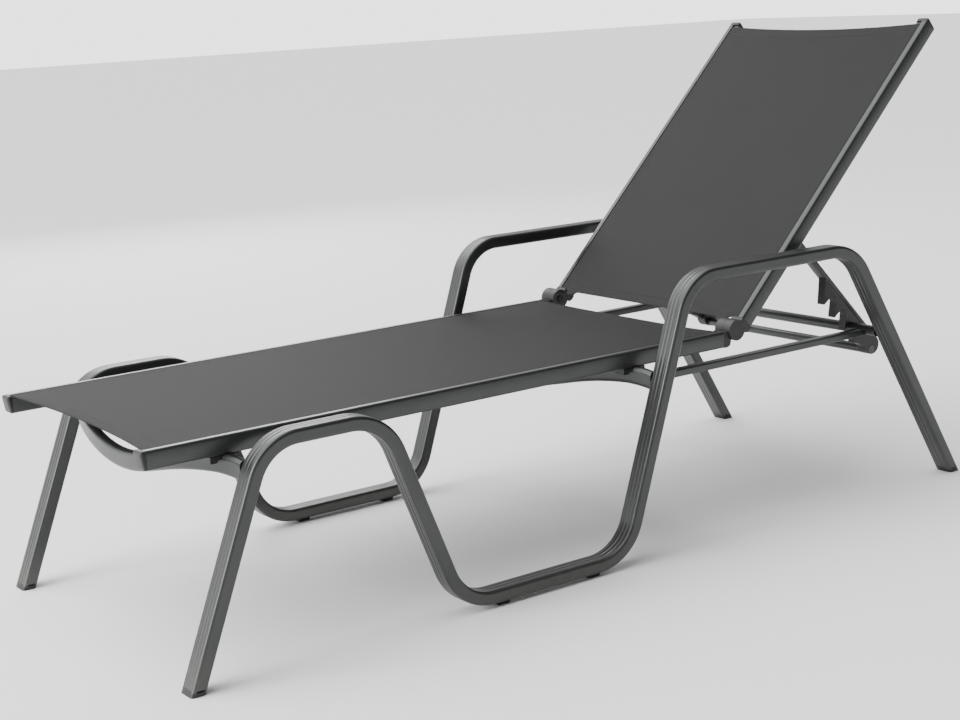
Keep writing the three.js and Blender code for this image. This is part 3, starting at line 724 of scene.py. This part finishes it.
class LOUNGER_OT_side_frames(bpy.types.Operator):
    """Sweep the two reeded side frames along their bent lines"""
    bl_idname = "lounger.side_frames"
    bl_label = "Side Frames"

    def execute(self, context):
        tubes = context.scene.lounger_tubes
        for side, sign in zip(SIDES, (-1, 1)):
            line = side_line(FRAME_Y * sign)
            mesh = swept_tube(
                f"side_frame_{side}_tube", line, (0.0, 1.0, 0.0), tubes.width, tubes.thickness,
                tubes.corner, bpy.data.materials["Powder Coat"], tubes.reeds, tubes.reed_depth, 0.0009)
            level_ends(mesh, line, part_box(f"side_frame_{side}")[0].z)
            piece = add_piece(mesh.name, mesh, "base")
            smooth(mesh, 40)
            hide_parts(f"side_frame_{side}")
        return {"FINISHED"}


class LOUNGER_OT_crossbars(bpy.types.Operator):
    """Sweep the crossbars under the seat, the rack bar and the bars behind the back"""
    bl_idname = "lounger.crossbars"
    bl_label = "Crossbars"

    def execute(self, context):
        paint = bpy.data.materials["Powder Coat"]
        flat = tuple(CROSSBAR[name] for name in ("width", "thickness", "corner"))
        behind = tuple(BACK_BAR[name] for name in ("width", "thickness", "corner"))
        bars = [(node, "base", cross_line(node), (0.0, 0.0, 1.0), *flat)
                for node in ("crossbar_front", "crossbar_rear")]
        bars.append(("rack_bar", "base", straight_line("rack_bar"), (1.0, 0.0, 0.0),
                     0.02, 0.02, 0.00999))
        upright = tuple(back_matrix().to_3x3() @ Vector((0.0, 0.0, 1.0)))
        for node in ("back_bar_low", "back_bar_top"):
            bars.append((node, "backrest", back_bar_line(node), upright, *behind))
        for node, body, line, side, width, thickness, corner in bars:
            mesh = swept_tube(f"{node}_tube", line, side, width, thickness, corner, paint)
            piece = add_piece(mesh.name, mesh, body)
            smooth(mesh, 40)
            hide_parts(node)
        for side in SIDES:
            rounded_copy(f"strut_{side}", "base", paint, TUBE_EASE)
        return {"FINISHED"}


class LOUNGER_OT_rails(bpy.types.Operator):
    """Ease the edges of the seat and back rails and give them drawn-tube paint"""
    bl_idname = "lounger.rails"
    bl_label = "Rails"

    def execute(self, context):
        for side in SIDES:
            rounded_copy(f"seat_rail_{side}", "base",
                         bpy.data.materials["Powder Coat Base Rail"], TUBE_EASE, 36)
            rounded_copy(f"back_rail_{side}", "backrest",
                         bpy.data.materials["Powder Coat Back Rail"], TUBE_EASE, 36)
        return {"FINISHED"}


class LOUNGER_OT_slings(bpy.types.Operator):
    """Stretch the seat and back cloths between their rails"""
    bl_idname = "lounger.slings"
    bl_label = "Slings"

    def execute(self, context):
        slings = context.scene.lounger_slings
        seat_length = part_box("seat_rail_left")[1].x - ORIGIN_X

        def seat_front(t):
            return 0.0022 + 0.015 * (1 - t * t)

        def seat_rear(t):
            return seat_length - 0.0022 - 0.0125 * (1 - t ** 4)

        def back_low(t):
            flare = min(max((t - 0.79) / 0.06, 0.0), 1.0)
            clear = min(max((t - 0.9) / 0.02, 0.0), 1.0)
            return 0.0235 - 0.0085 * flare ** 2 * (3 - 2 * flare) + 0.0125 * clear

        def back_high(t):
            return 0.7415 - 0.012 * (1 - t * t)

        build_sling("seat", seat_front, seat_rear, seat_matrix(), "base",
                    slings)
        build_sling("back", back_low, back_high, back_matrix(), "backrest",
                    slings)
        for node, cad in frame["nodes"].items():
            if "keder" in node:
                cad.data.materials.clear()
                cad.data.materials.append(bpy.data.materials["Moulded Black"])
        return {"FINISHED"}


class LOUNGER_OT_fittings(bpy.types.Operator):
    """Ease the edges of the moulded feet, caps, saddles, hinges and racks"""
    bl_idname = "lounger.fittings"
    bl_label = "Fittings"

    def execute(self, context):
        radius = context.scene.lounger_fittings.rounding
        plastic = bpy.data.materials["Moulded Black"]
        base = ("front_foot_cap", "rear_foot_cap", "front_runner_pad", "rear_runner_pad",
                "front_saddle", "rear_saddle", "seat_rail_cap", "seat_hinge")
        back = ("back_hinge", "back_rail_cap")
        for body, stems in (("base", base), ("backrest", back), ("stay", ("rack",))):
            for stem in stems:
                for side in SIDES:
                    rounded_copy(f"{stem}_{side}", body, plastic, radius)
        for side in SIDES:
            # Painted highlight: the black plastic plugs are drawn in the lighter grey copy of the plastic.
            rounded_copy(f"stay_bar_plug_{side}", "stay",
                         bpy.data.materials["Moulded Grey"], radius)
        return {"FINISHED"}


class LOUNGER_OT_stay(bpy.types.Operator):
    """Ease the edges of the stay's arms and its crossbar"""
    bl_idname = "lounger.stay"
    bl_label = "Stay"

    def execute(self, context):
        paint = bpy.data.materials["Powder Coat"]
        for side in SIDES:
            rounded_copy(f"stay_arm_{side}", "stay", paint, TUBE_EASE)
        rounded_copy("stay_crossbar", "stay", paint, 0.0003)
        return {"FINISHED"}


class LOUNGER_OT_fixings(bpy.types.Operator):
    """Finish the hinge pins and bolts"""
    bl_idname = "lounger.fixings"
    bl_label = "Fixings"

    def execute(self, context):
        stems = (("hinge_pin", "base", "Blackened Steel"), ("front_rail_bolt", "base", "Zinc Plate"),
                 ("rear_rail_bolt", "base", "Zinc Plate"), ("stay_bolt", "stay", "Zinc Plate"))
        for stem, body, finish in stems:
            for side in SIDES:
                rounded_copy(
                    f"{stem}_{side}", body, bpy.data.materials[finish], TUBE_EASE)
        return {"FINISHED"}


class LOUNGER_OT_stage(bpy.types.Operator):
    """Set the floor, the soft lamps and the camera"""
    bl_idname = "lounger.stage"
    bl_label = "Stage"

    def execute(self, context):
        scene, stage = context.scene, context.scene.lounger_stage
        mesh = bpy.data.meshes.new("floor")
        size = 30.0
        mesh.from_pydata([(-size, -size, 0), (size, -size, 0), (size, size, 0), (-size, size, 0)],
                         [], [(0, 1, 2, 3)])
        floor = bpy.data.objects.new("floor", mesh)
        scene.collection.objects.link(floor)
        material, nodes = new_material("Pale Floor")
        place = nodes.add("ShaderNodeTexCoord").outputs["Object"]
        shade = between(
            nodes, noise(nodes, place, 3.0), rgba(stage.floor, 0.985), rgba(stage.floor, 1.0))
        close_material(nodes, {"Base Color": shade, "Roughness": 0.85})
        mesh.materials.append(material)
        world = bpy.data.worlds.new("Studio")
        world.use_nodes = True
        scene.world = world
        nodes = Nodes(world.node_tree)
        seen = nodes.add("ShaderNodeLightPath").outputs["Is Camera Ray"]
        way = nodes.add("ShaderNodeTexCoord").outputs["Generated"]
        parts = nodes.add("ShaderNodeSeparateXYZ", None, {0: way})
        ahead, aside = Value(nodes, parts.outputs[0]), Value(nodes, parts.outputs[1])
        soft = (aside * 0.75 - ahead * 0.55 + 0.75).math("MAXIMUM", 0.12)
        hidden = (1.0 - Value(nodes, seen)) * soft * 0.95
        strength = Value(nodes, seen) * 2.7 + hidden
        back = nodes.add("ShaderNodeBackground", None, {"Color": (1, 1, 1, 1), "Strength": strength})
        nodes.add("ShaderNodeOutputWorld", None, {"Surface": back.outputs[0]})
        lamps = (
            ("foot_end_lamp", (-4.6, 0.4, 1.9), (0.0, 0.0, 0.3), 2.4, stage.key),
            ("far_side_lamp", (1.2, 4.4, 2.2), (0.2, 0.0, 0.4), 2.4, stage.key * 0.4),
        )
        above = bpy.data.lights.new("broad_overhead", "SUN")
        above.energy = stage.sky
        above.angle = math.radians(75)
        lamp = bpy.data.objects.new("broad_overhead", above)
        scene.collection.objects.link(lamp)
        lamp.rotation_euler = (math.radians(-14), math.radians(-24), 0.0)
        for name, spot, aim, width, power in lamps:
            light = bpy.data.lights.new(name, "AREA")
            light.shape = "SQUARE"
            light.size = width
            light.energy = power
            lamp = bpy.data.objects.new(name, light)
            scene.collection.objects.link(lamp)
            lamp.location = spot
            lamp.rotation_euler = (Vector(aim) - Vector(spot)).to_track_quat("-Z", "Y").to_euler()
        azimuth, elevation, roll = (math.radians(angle) for angle in CAMERA_TURN)
        ahead = Vector((math.sin(azimuth) * math.cos(elevation),
                        math.cos(azimuth) * math.cos(elevation), -math.sin(elevation)))
        right = ahead.cross(Vector((0, 0, 1))).normalized()
        up = right.cross(ahead)
        across = right * math.cos(roll) + up * math.sin(roll)
        upward = up * math.cos(roll) - right * math.sin(roll)
        view = bpy.data.cameras.new("camera")
        view.lens = stage.lens
        view.sensor_width = 36.0
        view.clip_end = 100.0
        camera = bpy.data.objects.new("camera", view)
        scene.collection.objects.link(camera)
        turn = Matrix((across, upward, -ahead)).transposed()
        spot = Vector((ORIGIN_X, 0.0, 0.0)) + Vector(CAMERA_PLACE)
        camera.matrix_world = Matrix.Translation(spot) @ turn.to_4x4()
        scene.camera = camera
        return {"FINISHED"}


class LOUNGER_PT_sidebar(bpy.types.Panel):
    bl_idname = "LOUNGER_PT_sidebar"
    bl_label = "Sun Lounger"
    bl_space_type = "VIEW_3D"
    bl_region_type = "UI"
    bl_category = "Lounger"

    def draw(self, context):
        for group in ("lounger_tubes", "lounger_slings", "lounger_fittings", "lounger_stage"):
            settings = getattr(context.scene, group)
            box = self.layout.box()
            for name in settings.__annotations__:
                box.prop(settings, name)
        for operator in OPERATORS:
            self.layout.operator(operator.bl_idname)


GROUPS = {"lounger_tubes": LoungerTubes, "lounger_slings": LoungerSlings,
          "lounger_fittings": LoungerFittings, "lounger_stage": LoungerStage}
OPERATORS = (LOUNGER_OT_materials, LOUNGER_OT_side_frames, LOUNGER_OT_crossbars, LOUNGER_OT_rails,
             LOUNGER_OT_slings, LOUNGER_OT_fittings, LOUNGER_OT_stay, LOUNGER_OT_fixings,
             LOUNGER_OT_stage)


def register():
    for item in (*GROUPS.values(), *OPERATORS, LOUNGER_PT_sidebar):
        bpy.utils.register_class(item)
    for name, group in GROUPS.items():
        setattr(bpy.types.Scene, name, PointerProperty(type=group))


def unregister():
    for name in GROUPS:
        delattr(bpy.types.Scene, name)
    for item in (LOUNGER_PT_sidebar, *reversed(OPERATORS), *reversed(GROUPS.values())):
        bpy.utils.unregister_class(item)


def main():
    register()
    for operator in OPERATORS:
        getattr(bpy.ops.lounger, operator.bl_idname.split(".")[1])()


if __name__ == "__main__":
    main()
